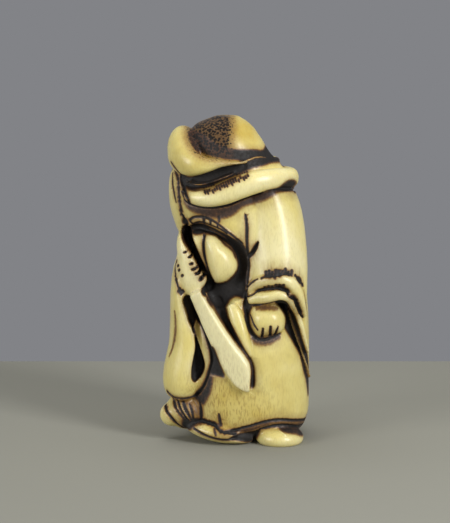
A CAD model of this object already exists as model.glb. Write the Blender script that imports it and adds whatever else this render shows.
"""A netsuke, a carved ivory toggle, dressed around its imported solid.

The forms are the solid's own, made again as fine surfaces, fused, worn smooth and cut with the finer
lines. Everything is worked out in millimetres and put in place in metres at the end. +Z is up, -Y is the
side with the blade, and the figure looks towards -X.
"""

import math
from functools import partial
from typing import NamedTuple

import bpy
import numpy as np
from bpy.props import FloatProperty, FloatVectorProperty, IntProperty, PointerProperty
from bpy.types import Operator, Panel, PropertyGroup
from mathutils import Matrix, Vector
from mathutils.bvhtree import BVHTree


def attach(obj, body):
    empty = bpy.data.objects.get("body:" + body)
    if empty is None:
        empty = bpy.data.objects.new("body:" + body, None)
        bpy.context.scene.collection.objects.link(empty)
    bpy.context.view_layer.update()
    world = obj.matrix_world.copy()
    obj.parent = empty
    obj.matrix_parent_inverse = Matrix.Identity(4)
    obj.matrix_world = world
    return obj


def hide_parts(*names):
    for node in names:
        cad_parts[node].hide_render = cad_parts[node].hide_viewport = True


bl_info = {
    "name": "Netsuke",
    "version": (1, 0, 0),
    "blender": (4, 5, 0),
    "location": "3D View > Sidebar > Netsuke",
    "description": "Carves and stains an ivory netsuke around its packed solid",
    "category": "Object",
}

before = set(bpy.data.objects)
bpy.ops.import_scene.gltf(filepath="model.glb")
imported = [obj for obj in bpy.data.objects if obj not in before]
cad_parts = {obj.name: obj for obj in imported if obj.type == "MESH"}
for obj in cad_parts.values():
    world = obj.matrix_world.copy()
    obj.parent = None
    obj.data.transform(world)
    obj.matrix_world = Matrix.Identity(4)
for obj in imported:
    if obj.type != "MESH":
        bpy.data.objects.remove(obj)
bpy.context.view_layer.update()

MM = 0.001
CENTRING = (-0.05, 1.233)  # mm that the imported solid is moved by, to stand on the middle of its box
SQUARENESS = 2.4  # superellipse power of the block's plan: 2 is an ellipse
HEAD_TURN = 0.2  # radians that the face is turned from the left towards the back
HEAD_PLACE = (0.6, 0.9, 51.4)  # mm, where the face's hollow and the face are turned about
AHEAD = -60  # mm, a depth in front of everything, where rays towards the back start
BACKWARDS = Vector((0, 1, 0))
WIDEST_SHARE = 0.985  # how far across the robe, as a share of half its width, its front is worked out
LAST_RING = 0.08  # the top ring of a raised form, as a share of its outline
LAID_STEP = 0.4  # mm between the points of a path that is laid on the surface
LEANS_BACK = 0.25  # a normal's depth past which a point doesn't belong to the front
FRONT_DEPTH = 3  # mm, the depth past which a point doesn't belong to the front

# Rows of a form that is lofted upwards: height, then its left, right, front and back limits.
ROBE = [
    (0.9, -7.6, 13.2, -8.6, 9.4),
    (2.6, -9.2, 15, -10.6, 11),
    (6, -10.2, 16, -11.7, 11.8),
    (14, -10.8, 16, -12.1, 12.1),
    (22, -10.8, 15.5, -11.7, 12),
    (29, -10.8, 14.8, -10.2, 11.7),
    (36, -10.6, 14, -9, 11.3),
    (46, -10.4, 12.4, -9.6, 10.6),
    (54, -9.4, 10.8, -8.6, 9.6),
]
HOOD = [
    (41, -10.2, 2, -4.5, 7),
    (44, -11.8, 6, -6.6, 9),
    (47.5, -13.1, 9, -8.4, 9.8),
    (51, -13.9, 10.6, -9.2, 10),
    (56, -13.8, 10.6, -8.6, 10),
    (60, -12, 9.6, -7.6, 9.4),
]
CROWN = [
    (56, -8.5, 11.4, -8.2, 9.2),
    (58.6, -9.4, 10.2, -8.4, 9),
    (61, -9.8, 7.8, -8.2, 8.4),
    (64.5, -9.8, 5.6, -7.2, 7.2),
    (67.4, -8.2, 3.4, -5.2, 5),
    (69.2, -4, 0.8, -2, 2),
]
FAR_SLEEVE = [
    (9, -12.6, -9.4, -8.4, -2.6),
    (10, -14.3, -8, -9.6, -0.8),
    (12.4, -15.2, -6.6, -10.6, 1),
    (15.6, -15.1, -5.6, -10.8, 1.8),
    (18.6, -14.5, -5, -10.7, 2.1),
    (21.4, -13.9, -5.3, -10.4, 2.4),
    (27, -13.7, -7.3, -9.8, 3),
    (32.5, -13.6, -9.6, -9.2, 3.4),
    (37, -13, -10.2, -8.4, 2.8),
    (39, -12.2, -11, -7, 1.8),
]
HANGING_SLEEVE = [
    (9, 15, 15.6, -2, 3.4),
    (12, 14.2, 16, -5, 5.8),
    (18, 12.8, 16.1, -7.6, 7.2),
    (26, 10.6, 15.9, -8.8, 7.4),
    (33, 8.6, 15.4, -8, 5.6),
    (40, 7.6, 14.6, -6, 3),
]


# ---- surfaces ----------------------------------------------------------------------


def smooth_path(points, count, closed=False):
    """A centripetal Catmull-Rom curve through the points, in count places evenly spaced by length."""
    p = np.asarray(points, float)
    if closed:
        p = np.vstack([p[-1], p, p[:2]])
    else:
        p = np.vstack([2 * p[0] - p[1], p, 2 * p[-1] - p[-2]])
    a, b, c, d = p[:-3], p[1:-2], p[2:-1], p[3:]
    ab, bc, cd = [np.linalg.norm(v, axis=1, keepdims=True) ** 0.5 for v in (b - a, c - b, d - c)]
    leave = ((b - a) / ab - (c - a) / (ab + bc) + (c - b) / bc) * bc
    arrive = ((c - b) / bc - (d - b) / (bc + cd) + (d - c) / cd) * bc
    t = np.linspace(0, 1, 24, endpoint=False)[:, None, None]
    curve = (
        (2 * t**3 - 3 * t**2 + 1) * b
        + (t**3 - 2 * t**2 + t) * leave
        + (3 * t**2 - 2 * t**3) * c
        + (t**3 - t**2) * arrive
    )
    curve = np.vstack([curve.transpose(1, 0, 2).reshape(-1, p.shape[1]), c[-1]])
    length = np.append(0, np.cumsum(np.linalg.norm(np.diff(curve, axis=0), axis=1)))
    places = np.linspace(0, length[-1], count, endpoint=not closed)
    return np.stack([np.interp(places, length, axis) for axis in curve.T], axis=1)


def bulge(value, power):
    """cos or sin raised to the power that turns a circle into a superellipse."""
    return np.sign(value) * np.abs(value) ** (2 / power)


def skin(rings):
    """A closed surface through rings of points, with a fan over each end ring, facing outwards."""
    rings = np.asarray(rings, float)
    count, around = rings.shape[:2]
    points = np.vstack([rings.reshape(-1, 3), rings[0].mean(0), rings[-1].mean(0)])
    grid = np.arange(count * around).reshape(count, around)
    turned = np.roll(grid, -1, axis=1)
    walls = np.stack([grid[:-1], turned[:-1], turned[1:], grid[1:]], axis=-1).reshape(-1, 4)
    first, last = count * around, count * around + 1
    below = np.stack([turned[0], grid[0], np.full(around, first)], axis=-1)
    above = np.stack([grid[-1], turned[-1], np.full(around, last)], axis=-1)
    triangles = np.vstack([walls[:, :3], walls[:, [0, 2, 3]], below, above])
    a, b, c = points[triangles].transpose(1, 0, 2)
    if np.einsum("ij,ij", a, np.cross(b, c)) < 0:
        triangles = triangles[:, ::-1]
    return points, triangles


def limits_at(rows, heights):
    """A loft's left, right, front and back limits at heights: cubic Hermite curves between its rows."""
    rows = np.asarray(rows, float)
    slopes = np.empty_like(rows)
    slopes[1:-1] = (rows[2:] - rows[:-2]) / (rows[2:, :1] - rows[:-2, :1])
    slopes[0] = (rows[1] - rows[0]) / (rows[1, 0] - rows[0, 0])
    slopes[-1] = (rows[-1] - rows[-2]) / (rows[-1, 0] - rows[-2, 0])
    k = np.clip(np.searchsorted(rows[:, 0], heights) - 1, 0, len(rows) - 2)
    step = rows[k + 1, 0] - rows[k, 0]
    t = np.clip((heights - rows[k, 0]) / step, 0, 1)[:, None]
    step = step[:, None]
    limits = (
        (1 + 2 * t) * (1 - t) ** 2 * rows[k]
        + t * (1 - t) ** 2 * slopes[k] * step
        + t * t * (3 - 2 * t) * rows[k + 1]
        + t * t * (t - 1) * slopes[k + 1] * step
    )
    return limits[:, 1:].T


def loft(rows, sides=140, steps=120, power=SQUARENESS):
    """A form lofted upwards through its rows: at each height a superellipse between the limits."""
    t = (1 - np.cos(np.linspace(0, np.pi, steps + 1))) / 2
    heights = rows[0][0] + (rows[-1][0] - rows[0][0]) * t
    left, right, front, back = [limit[:, None] for limit in limits_at(rows, heights)]
    turn = np.linspace(0, 2 * np.pi, sides, endpoint=False)
    x = (left + right) / 2 + bulge(np.cos(turn), power) * (right - left) / 2
    y = (front + back) / 2 + bulge(np.sin(turn), power) * (back - front) / 2
    z = np.broadcast_to(heights[:, None], x.shape)
    return skin(np.stack([x, y, z], axis=-1))


def front_of_block(x, z):
    """Where the front of the robe's superellipse lies at places across and up."""
    left, right, front, back = limits_at(ROBE, z)
    across = np.minimum(np.abs(x - (left + right) / 2) / ((right - left) / 2), WIDEST_SHARE)
    deep = (1 - across**SQUARENESS) ** (1 / SQUARENESS)
    return (front + back) / 2 - deep * (back - front) / 2


def raised(outline, height, fullness=2, sink=3, rings=14, around=90, seat=front_of_block):
    """A form on the front, or with a negative height its cutter: the closed outline shrinks towards
    its middle as cos(c) ** (2 / fullness) while it rises by height * sin(c)."""
    edge = smooth_path(outline, around, closed=True)
    middle = edge.mean(0)
    climb = np.linspace(0, np.pi / 2, rings)
    share = np.append(1, np.maximum(np.cos(climb) ** (2 / fullness), LAST_RING))[:, None, None]
    proud = np.append(-sink, height * np.sin(climb))[:, None]
    x, z = np.moveaxis(middle + (edge - middle) * share, -1, 0)
    y = seat(x.ravel(), z.ravel()).reshape(x.shape) - proud
    return skin(np.stack([x, y, z], axis=-1))


def carried(rows, sides=36, steps=120, power=2.0, outward=None):
    """A superelliptical section carried along a smooth path. Each row is its centre, its half height and
    its half depth, and depth points away from the block's axis unless outward says otherwise."""
    path = smooth_path(rows, steps + 1)
    centre = path[:, :3]
    tall, deep = np.maximum(path[:, 3:], 0.05).T[:, :, None, None]
    along = np.gradient(centre, axis=0)
    along /= np.linalg.norm(along, axis=1, keepdims=True)
    away = centre * (1, 1, 0) if outward is None else np.broadcast_to(outward, centre.shape)
    up = np.cross(along, away / np.linalg.norm(away, axis=1, keepdims=True))
    up /= np.linalg.norm(up, axis=1, keepdims=True)
    out = np.cross(up, along)
    turn = np.linspace(0, 2 * np.pi, sides, endpoint=False)[None, :, None]
    ring = tall * bulge(np.cos(turn), power) * up[:, None] + deep * bulge(np.sin(turn), power) * out[:, None]
    return skin(centre[:, None] + ring)


def flat_seat(depth, slope=0.0, at=0.0):
    """A plane for raised() to stand on: depth + slope * (x - at)."""
    return lambda x, z: depth + slope * (x - at)


def ball(around=64, rows=40):
    """A unit sphere as rings from the south pole up: (cos a cos b, sin a cos b, sin b)."""
    a = np.linspace(0, 2 * np.pi, around, endpoint=False)
    b = np.linspace(-np.pi / 2, np.pi / 2, rows + 2)[1:-1, None]
    return np.stack([np.cos(a) * np.cos(b), np.sin(a) * np.cos(b), np.sin(b) + 0 * a], axis=-1)


def lump(centre, radii, lean=0.0):
    """An ellipsoid that leans to the side, turned about the depth axis."""
    x, y, z = np.moveaxis(ball() * radii, -1, 0)
    c, s = math.cos(lean), math.sin(lean)
    return skin(np.stack([x * c + z * s, y, z * c - x * s], axis=-1) + centre)


def joined(surfaces):
    """Surfaces side by side as one list of points and one of triangles."""
    points, triangles, start = [], [], 0
    for p, t in surfaces:
        points.append(p)
        triangles.append(t + start)
        start += len(p)
    return np.vstack(points), np.vstack(triangles)


def laid_on(surface, rows, lift=0.0):
    """Rows of a place across and up with sizes, laid on the front of a surface by a ray through each."""
    points, triangles = surface
    tree = BVHTree.FromPolygons(points.tolist(), triangles.tolist())
    laid_rows = []
    for x, z, *sizes in rows:
        hit, _, _, _ = tree.ray_cast(Vector((x, AHEAD, z)), BACKWARDS)
        if hit is None:
            raise RuntimeError(f"nothing lies behind the place {x}, {z}")
        laid_rows.append((x, hit.y - lift, z, *sizes))
    return laid_rows


# ---- the forms ---------------------------------------------------------------------


def hat():
    """A soft crown that leans forward, the brim's upturned front, its rolled sides, and a thin ledge
    in the groove between the two."""
    flap = [
        (2.6, -8.8, 60.6, 0.2, 0.8),
        (-0.4, -9.4, 60.3, 0.4, 1),
        (-3, -9.6, 60.3, 0.85, 1.3),
        (-6, -9.6, 60, 1.7, 1.8),
        (-8.6, -8.6, 60.2, 2.8, 2.4),
        (-10.6, -5.4, 61.3, 3.9, 3),
        (-11, 0.6, 62.3, 4.7, 3.1),
        (-9.2, 6.4, 61.2, 3.6, 2.8),
        (-4, 8.8, 59.8, 1.8, 1.8),
        (3, 8.8, 60, 0.7, 0.8),
    ]
    roll = [
        (-10.6, -6.4, 54, 0.9, 1.2),
        (-8.4, -9, 53.2, 1.5, 2),
        (-5.4, -10.3, 53.1, 1.9, 2.3),
        (-2.4, -10.7, 54, 2.3, 2.4),
        (1.1, -10.7, 55.4, 2.4, 2.4),
        (4.4, -10, 56.4, 2.35, 2.4),
        (8.1, -8, 56.8, 2.2, 2.3),
        (11.3, -3.4, 56.3, 2.2, 2.15),
        (10.7, 3.6, 55.8, 2.1, 2.1),
        (7, 8, 55.5, 2, 2),
        (0, 9.8, 54.9, 1.9, 2),
        (-6.4, 8.8, 54.5, 1.9, 2),
        (-10, 6, 54.4, 1.4, 1.6),
    ]
    ledge = [
        (-9.8, -8.2, 56.4, 0.15, 1.2),
        (-8.4, -9, 55.9, 0.22, 1.4),
        (-6, -9.6, 56, 0.24, 1.5),
        (-4.2, -9.8, 56.6, 0.24, 1.5),
        (-2.4, -9.8, 57.3, 0.22, 1.4),
        (0.2, -9.4, 58.3, 0.12, 1.1),
    ]
    return [
        loft(CROWN, power=2.1),
        carried(flap, power=2.1),
        carried(roll, steps=200, power=2.3),
        carried(ledge, sides=16),
    ]


def head():
    """An oval face with brows, closed eyes, a nose and a mouth, and the hollow of its hood. A feature
    stands out by height * exp(-(across / wide) ** 2 - (up / tall) ** 2), where across and up are
    measured from its middle."""
    x, y, z = np.moveaxis(ball(120, 90), -1, 0)
    facing = np.clip(-x, 0, 1)
    # Each feature: its height in mm, then its middle and its reach across the face and up it, as shares
    # of the face's half width and half height.
    sockets, lids = (-0.5, 0.36, 0.16, 0.2, 0.12), (0.32, 0.36, 0.13, 0.15, 0.06)
    brows, cheeks = (0.3, 0.34, 0.36, 0.24, 0.07), (0.3, 0.42, -0.24, 0.22, 0.2)
    bridge, nostrils = (1.25, 0, -0.03, 0.1, 0.22), (0.5, 0, -0.16, 0.19, 0.08)
    upper_lip, lower_lip = (0.42, 0, -0.39, 0.2, 0.05), (0.4, 0, -0.5, 0.16, 0.05)
    chin = (0.4, 0, -0.8, 0.2, 0.14)
    paired = (sockets, lids, brows, cheeks)
    features = [(height, side * across, *rest) for side in (-1, 1) for height, across, *rest in paired]
    relief = 0.0
    for height, across, up, wide, tall in (*features, bridge, nostrils, upper_lip, lower_lip, chin):
        relief += height * np.exp(-(((y - across) / wide) ** 2) - ((z - up) / tall) ** 2) * (facing > 0)
    egg = np.stack([x * 4.2 - relief * facing, y * 4.4 * (1 - 0.12 * np.clip(-z, 0, 1)), z * 5.9], axis=-1)
    hollow = ball() * (3.4, 5.3, 6.4)
    c, s = math.cos(-HEAD_TURN), math.sin(-HEAD_TURN)
    turn = np.array([[c, s, 0], [-s, c, 0], [0, 0, 1]])
    return [
        skin((grid + centre) @ turn + HEAD_PLACE)
        for grid, centre in ((egg, (-9.1, 0, -0.2)), (hollow, (-15.4, 0, 0)))
    ]


def chest():
    """The round belly, the flat lapel beside it, the border band of the cape, and the belly's hollow."""
    outline = [
        (-10.2, 45.8), (-8.7, 46.8), (-6.8, 47.1), (-5.1, 46.6), (-3.3, 45.8), (-1.5, 44.9), (0, 43.9),
        (1.6, 42.4), (2.5, 40.6), (2.8, 38.4), (2.4, 36), (2.2, 33), (1.4, 31.4), (-0.4, 30.8), (-2, 29.6),
        (-3.8, 29.4), (-5.6, 31.8), (-6.8, 35), (-8.6, 38.6), (-10.2, 42.4),
    ]
    belly = [
        (-6.3, 45), (-4.6, 45), (-2.7, 43.7), (-1, 42.4), (0.2, 40.6), (0.7, 38.4), (0.2, 36.4), (-1, 35.2),
        (-2.6, 34.4), (-4, 34.6), (-5.1, 36.4), (-5.9, 38.6), (-6.4, 41), (-6.6, 43.3),
    ]
    lapel = [
        (-8.9, 45.1), (-6.2, 45.3), (-6, 42), (-5.6, 38.6), (-4.9, 36), (-5.4, 36), (-6.4, 38),
        (-7.4, 40.4), (-8.3, 42.8),
    ]
    band = [
        (-9.6, 47.6, 0.3, 0.5), (-8, 47.9, 0.75, 0.7), (-6, 48.1, 0.8, 0.8), (-4, 47.4, 0.7, 0.8),
        (-2, 46.1, 0.55, 0.7), (0.4, 44.2, 0.3, 0.5),
    ]
    band = [(x, front_of_block(np.array([x]), np.array([z]))[0], z, *sizes) for x, z, *sizes in band]
    level = flat_seat(-7.7)
    forms = [
        raised(belly, 3.7, fullness=2.2, seat=level, rings=20),
        raised(lapel, 1.5, fullness=5, seat=level),
        carried(band),
    ]
    return forms, raised(outline, -2.3, sink=-4, fullness=7)


def near_sleeve():
    """The near arm in its wide sleeve, which hangs on down the side as a bag of cloth."""
    arm = [
        (6.6, -1.6, 55, 7.4, 5.1), (8.2, -3, 48, 7, 6), (8.8, -4.8, 39, 6.5, 6.45), (8.8, -6, 30, 6, 6.5),
    ]
    return [carried(arm, sides=80, power=2.3), loft(HANGING_SLEEVE)]


CUFF_UPPER = [
    (2.8, 33, 0.9, 0.9), (4.4, 34.5, 1.3, 1), (7, 35.5, 1.4, 1), (9.6, 36, 1.25, 1), (11.6, 35.3, 1.3, 1),
    (13.1, 33.4, 1.3, 0.9), (14.1, 30.6, 1, 0.8), (14.7, 27.4, 0.6, 0.6),
]
CUFF_LOWER = [
    (2.9, 31.2, 0.8, 0.9), (4.6, 31.8, 1.25, 1.1), (7, 32.2, 1.25, 1.1), (9.2, 32.8, 1.05, 1.1),
    (10.7, 32.4, 0.95, 1.1), (11.9, 30.6, 0.8, 1.1), (12.9, 28.4, 0.7, 1.1), (13.8, 25.8, 0.65, 1),
    (14.5, 23, 0.6, 0.9), (15.3, 19.4, 0.5, 0.8),
]


def cuffs(sleeve):
    """Two turned cuffs, one over the other, that climb over the wrist and run down the sleeve."""
    return [carried(laid_on(sleeve, CUFF_UPPER)), carried(laid_on(sleeve, CUFF_LOWER, 0.5))]


def fist():
    """The hand below the cuffs: a closed fist, boxy, with its thumb laid along the side."""
    outline = [
        (3.2, 28.4), (3.7, 29.1), (4.9, 29.5), (7, 29.7), (9, 29.5), (10, 28.9), (10.6, 27.7), (10.7, 26.3),
        (10.4, 24.9), (9.4, 24.3), (8.2, 24), (6.6, 23.7), (5.2, 23.4), (4.2, 24.2), (3.4, 25.6), (3, 27),
    ]
    return [
        raised(outline, 3.2, fullness=3.6, seat=lambda x, z: -10 + 0.06 * (x - 7) ** 2, rings=20),
        raised([(x, z + 0.9) for x, z in outline], 2.2, fullness=4, seat=flat_seat(-9.6)),
    ]


def grip():
    """The far hand, closed on the grip of the blade."""
    outline = [
        (-11.6, 45), (-12.2, 43), (-12.1, 40.4), (-12.5, 38.4), (-12.3, 36.4), (-11.5, 34.2), (-10.6, 32.4),
        (-9.2, 32), (-7.2, 33), (-6, 34.8), (-5.8, 35.8), (-6.3, 36.8), (-7.2, 37.4), (-8, 39),
        (-8.8, 40.5), (-9.8, 42), (-10.6, 43.3), (-11, 44.4),
    ]
    return raised(outline, 1.9, fullness=3.4, sink=5, around=140, seat=flat_seat(-7.2, -0.42, -12))


BLADE_BLUNT = [
    (-9.4, 32.3), (-8.4, 29.7), (-7.3, 27.2), (-5.8, 23.8), (-4.2, 20.4), (-2.8, 17.6), (-1.4, 15.3),
    (0, 13.5), (1.7, 12.4), (2.9, 12.1),
]
BLADE_SHARP = [
    (-6.8, 33.9), (-4.7, 30.1), (-2.8, 27.1), (-0.8, 24.1), (0.9, 21.8), (2.4, 19.8), (3.3, 18.2),
    (3.5, 16.4), (3.4, 13.6), (3.1, 12.2),
]


def blade():
    """A straight blade: the surface between its two edges. Across it the face climbs evenly from the
    blunt edge to a ridge and drops steeply to the sharp one, and the ridge runs out at the tip."""
    steps = 110
    blunt, sharp = smooth_path(BLADE_BLUNT, steps), smooth_path(BLADE_SHARP, steps)
    t = np.linspace(0, 1, steps)[:, None]
    corners = [
        (0 * t, -2.4),
        (0 * t, 0.7),
        (0.07 + 0 * t, 1),
        (0.76 + 0.14 * t**3, 1.8 - 0.5 * t**3),
        (1 + 0 * t, 0.6),
        (1 + 0 * t, -2.4),
    ]
    rings = []
    for (share, height), (next_share, next_height) in zip(corners, corners[1:] + corners[:1]):
        for k in np.linspace(0, 1, 10, endpoint=False):
            x, z = (blunt + (sharp - blunt) * (share + (next_share - share) * k)).T
            proud = (height + (next_height - height) * k + 0 * t)[:, 0]
            rings.append(np.stack([x, -10.6 - 0.2 * (x + 8) - proud, z], axis=-1))
    return skin(np.stack(rings, axis=1))


SLIT = [
    (-8.5, 24.8), (-8.3, 21.1), (-8.8, 18.3), (-9.1, 16.3), (-9, 14.2), (-8.4, 13.5), (-7.6, 14.1),
    (-6.9, 15), (-6.4, 16.2), (-6.3, 17.6), (-6.9, 19.8), (-7.7, 22.3),
]


def far_sleeve():
    """The far arm and its sleeve, which hangs to a round bag, and the slit of its open mouth."""
    arm = [
        (-1, 8, 51, 4.2, 3.6), (-6, 7.6, 46, 4, 3.5), (-8.8, 4, 41.4, 3.8, 3.3),
        (-8.8, -2.6, 38.4, 3.6, 3.2),
    ]
    forms = [carried(arm, sides=60), loft(FAR_SLEEVE, power=2.2)]
    return forms, raised(SLIT, -1.8, sink=-8, fullness=4, seat=flat_seat(-9.2, 0.5, -8))


def hem_and_feet():
    """The gathered train, the fold beside the blade, the two feet, and the hem behind."""
    fold = [
        (-0.8, -10.3, 30.4, 0.9, 0.9), (0.2, -11, 28.4, 1.4, 1.2), (1.2, -11.6, 25.2, 1.5, 1.3),
        (2.2, -12, 22.2, 1.2, 1), (3.2, -12.2, 19.4, 0.6, 0.5),
    ]
    foot = [
        (-8.8, -6.4, 3.4, 1.2, 2.4), (-6.6, -8, 3, 1.8, 2.6), (-3, -9.6, 2.3, 1.9, 2.6),
        (0.8, -9.6, 1.7, 1.5, 2.4), (3.4, -8.6, 1.2, 1, 2),
    ]
    return [
        lump((-10, -4.6, 6.2), (4.9, 4.5, 4)),
        lump((-13.2, -5, 5.5), (2.75, 3, 2.6), -0.2),
        carried(fold),
        carried(foot),
        lump((9.6, -7.4, 1.2), (5.2, 5.7, 2.7), 0.05),
        lump((1.8, 5.4, 1.2), (9.6, 5.4, 3)),
    ]


def cord_tunnel():
    """A curved tunnel in the back for the cord, and its wider mouth that hides the knot."""
    path = [(4.4, 16, 33.4), (4.4, 8, 33.2), (2.2, 4.6, 31.2), (-1.8, 4.6, 28), (-4, 8, 26), (-4, 16, 25.8)]
    mouth = [(4.4, 6, 33.4), (4.4, 11, 33.4), (4.4, 16, 33.4)]
    up = (0, 0, 1)
    return [
        carried([(*place, 2.3, 2.3) for place in path], outward=up),
        carried([(*place, 3.1, 3.1) for place in mouth], outward=up),
    ]


# ---- the finer lines -----------------------------------------------------------------


class Line(NamedTuple):
    """A cut along a path. Its width is half of what shows, and its stain reaches past it by halo. A
    negative depth is a ridge, and a negative ink is rubbed clean. thin says which ends run out."""

    path: list
    width: float
    depth: float
    ink: float = 1.0
    halo: float = 0.3
    thin: str = ""
    ragged: float = 0.0


class Area(NamedTuple):
    """A closed outline on the front that holds stain and lies deep below the surface round it. Both
    fade over soft on each side of its edge."""

    outline: list
    ink: float
    soft: float
    depth: float = 0.0


def ticks(path, count, length, lean, **cut):
    """Short cuts that start at even places along a path: lean is their direction across and up."""
    starts = smooth_path(path, count)
    across, up = np.array(lean) / np.hypot(*lean) * length
    uneven = 1 + 0.3 * np.sin(np.arange(count) * 2.4)
    return [Line([(x, z), (x + across * u, z + up * u)], **cut) for (x, z), u in zip(starts, uneven)]


def hat_lines():
    """The edges in the hat's grooves, the line under its roll and the hatching on it."""
    edge = [(-2, 60.3), (0.6, 60.4), (2.9, 60.7), (4.3, 61.1), (5.3, 61.1), (6.6, 60.8)]
    under = [
        (-11, 54.2), (-10.7, 53), (-9.9, 52), (-8.1, 51.3), (-6, 51), (-3.7, 51.1), (-0.9, 51.7),
        (1.1, 52.6), (3, 53.3), (5, 54), (7, 54.6), (9, 54.7), (12.3, 54.2),
    ]
    hatch = [(-6.4, 55), (-4.2, 55.7), (-2.4, 56.5), (-0.9, 57.1), (0.7, 57.8), (2.6, 58.4)]
    return [
        Line(
            [(-9.8, 56.4), (-8.4, 55.9), (-6, 56), (-4.2, 56.6), (-2.4, 57.3), (0, 58.2)],
            0.2, -0.1, -0.3, 0.15, "both",
        ),
        Line(edge, 0.24, -0.4, -0.6, 0.12, "both"),
        Line([(-13.4, 60.2), (-12.2, 58.7), (-11.2, 57.5)], 0.3, 0.5, 1, 0.3, "start"),
        Line(under, 0.42, 0.6, 1, 0.4),
        *ticks(hatch, 19, 0.95, (0.45, -0.9), width=0.17, depth=0.14, ink=1, halo=0.14, thin="end"),
    ]


def hood_lines():
    """The edge line of the hood, the worn groove beside it and the deep one behind the far hand."""
    return [
        Line(
            [(-13.1, 57.3), (-13.1, 55.5), (-12.8, 53.5), (-12.3, 51.3)],
            0.22, 0.2, 0.85, 0.25, "both", 0.5,
        ),
        Line(
            [(-11.2, 57.6), (-11.4, 56.5), (-10.7, 54.8), (-9.8, 52.8), (-9.3, 51.6)],
            0.45, 0.5, 1, 0.4, "start",
        ),
        Line(
            [
                (-13, 58.4), (-12, 56.7), (-11.8, 54.1), (-11.6, 51.8), (-11.3, 50.2), (-11.2, 49.1),
                (-10.5, 47.7),
            ],
            0.34, 0.4, 0.8, 0.4, "start", 0.8,
        ),
        Line([(-11, 49), (-10.5, 47.6), (-10.2, 46.4), (-10.2, 45)], 0.7, 0.7, 1, 0.4, "start", 0.6),
        Line([(-3.3, 49.4), (-3.2, 47.7)], 0.2, 0.18, 0.9, 0.2, "both"),
    ]


def cape_lines():
    """The cape's border of little bars over a broad dark fold, and the line beside the belly."""
    above = [
        (-9.4, 47.9), (-8.7, 48.5), (-6.8, 48.8), (-5.1, 48.4), (-3.3, 47.4), (-1.5, 45.9), (-0.1, 44.8),
        (1.6, 43.3),
    ]
    below = [(-9.4, 47.8), (-8.9, 47.1), (-7.7, 47.5), (-6.7, 47.6), (-4.9, 47.1), (-3, 46.4), (-1.6, 45.5)]
    bars = [
        Line([(-6.5, 48.7), (-6.4, 47.5)], 0.34, 0.3, 1, 0.2),
        Line([(-5.1, 48.3), (-5, 47.1)], 0.26, 0.3, 1, 0.15),
        Line([(-3.6, 47.5), (-3.5, 46.6)], 0.2, 0.3, 1, 0.15),
    ]
    return [
        Line(above, 0.24, 0.35, 1, 0.2),
        Line(below, 0.22, 0.25, 1, 0.15),
        *bars,
        Line([(-5.6, 46.2), (-3.9, 45.6), (-2.4, 44.7), (-1.3, 43.8)], 0.2, -0.5, -0.35, 0.1, "both"),
        Line(
            [(-6.3, 45), (-6.5, 43.3), (-6.3, 40.8), (-5.8, 38.4), (-5.1, 36.5), (-4.4, 35.4)],
            0.27, 0.5, 1, 0.25,
        ),
        Line([(-3.5, 44.3), (-2, 43.1), (-0.4, 41.6), (0.3, 40)], 0.3, 0.15, 0.6, 0.9, "both", 0.6),
        Line([(-4.2, 34.6), (-2.4, 34.6), (-0.8, 35.5), (0.4, 37)], 0.35, 0.2, 0.75, 0.9, "both", 0.9),
    ]


def arm_lines():
    """The line between the chest and the arm, the cuffs' edges and the folds at the sleeve's mouth."""
    lining = [
        (11.2, 29.2), (11.7, 28.2), (12.1, 27), (12.6, 25.4), (13.2, 23.8), (13.8, 21.9), (14.5, 19),
        (15.1, 16.5), (15.7, 13.3),
    ]
    near = dict(depth=0.15, ink=0.9, halo=0.3, thin="end")
    return [
        Line([(2.3, 49.6), (2.6, 46.9), (2.6, 44), (2.7, 41.4)], 0.25, 0.5, 1, 0.3, "start"),
        Line([(2.7, 42.4), (2.9, 40.4), (3, 38.4), (2.7, 35.3), (2.4, 31.6)], 0.3, 0.5, 1, 0.2),
        Line([(5, 43.8), (4.5, 42.6), (3.8, 41.4), (2.9, 40.3)], 0.5, 0.8, 1, 0.3, "start"),
        Line([(2.6, 34), (3.4, 35), (4.4, 35.8), (5, 36.1)], 0.25, 0.35, 1, 0.2, "end", 0.4),
        Line(
            [(5.4, 36.2), (6.8, 36.8), (8.3, 36.9), (9.6, 37.2), (11, 37.2), (12.2, 36.8)],
            0.5, 0.4, 1, 0.4, "both", 0.8,
        ),
        Line([(12.6, 36.9), (13.3, 36), (14, 35), (14.6, 33.9)], 0.4, 0.3, 1, 0.25, "both", 1.0),
        *ticks([(6.6, 37), (8.3, 37.2), (9.8, 37.4), (12, 37.1)], 9, 0.9, (0.05, 1), width=0.26, **near),
        Line([(2.7, 32), (4.4, 33), (5.4, 33.6), (6.9, 34), (8.6, 34.2)], 0.25, 0.5, 1, 0.3, "start", 0.3),
        Line(
            [
                (8, 34.1), (9.4, 34.3), (10.5, 33.8), (11.4, 33), (12.4, 31.8), (13.2, 30.2), (14, 28.2),
                (14.4, 27),
            ],
            0.62, 0.8, 1, 0.35, "both", 0.3,
        ),
        *ticks([(6.4, 34.2), (8, 34.6), (10.2, 34.9)], 6, 0.4, (0.1, 1), width=0.26, **near),
        Line([(3.1, 30.3), (4.9, 30.5), (6.5, 30.9), (7.9, 31.3), (9.4, 31.7)], 0.24, 0.5, 1, 0.3),
        Line(lining, 0.24, -0.9, -0.9, 0.12, "start"),
        Line([(14.6, 33.4), (15.2, 30), (15.7, 26), (15.9, 22)], 0.2, 0.1, 0.25, 0.4, "both"),
    ]


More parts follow.
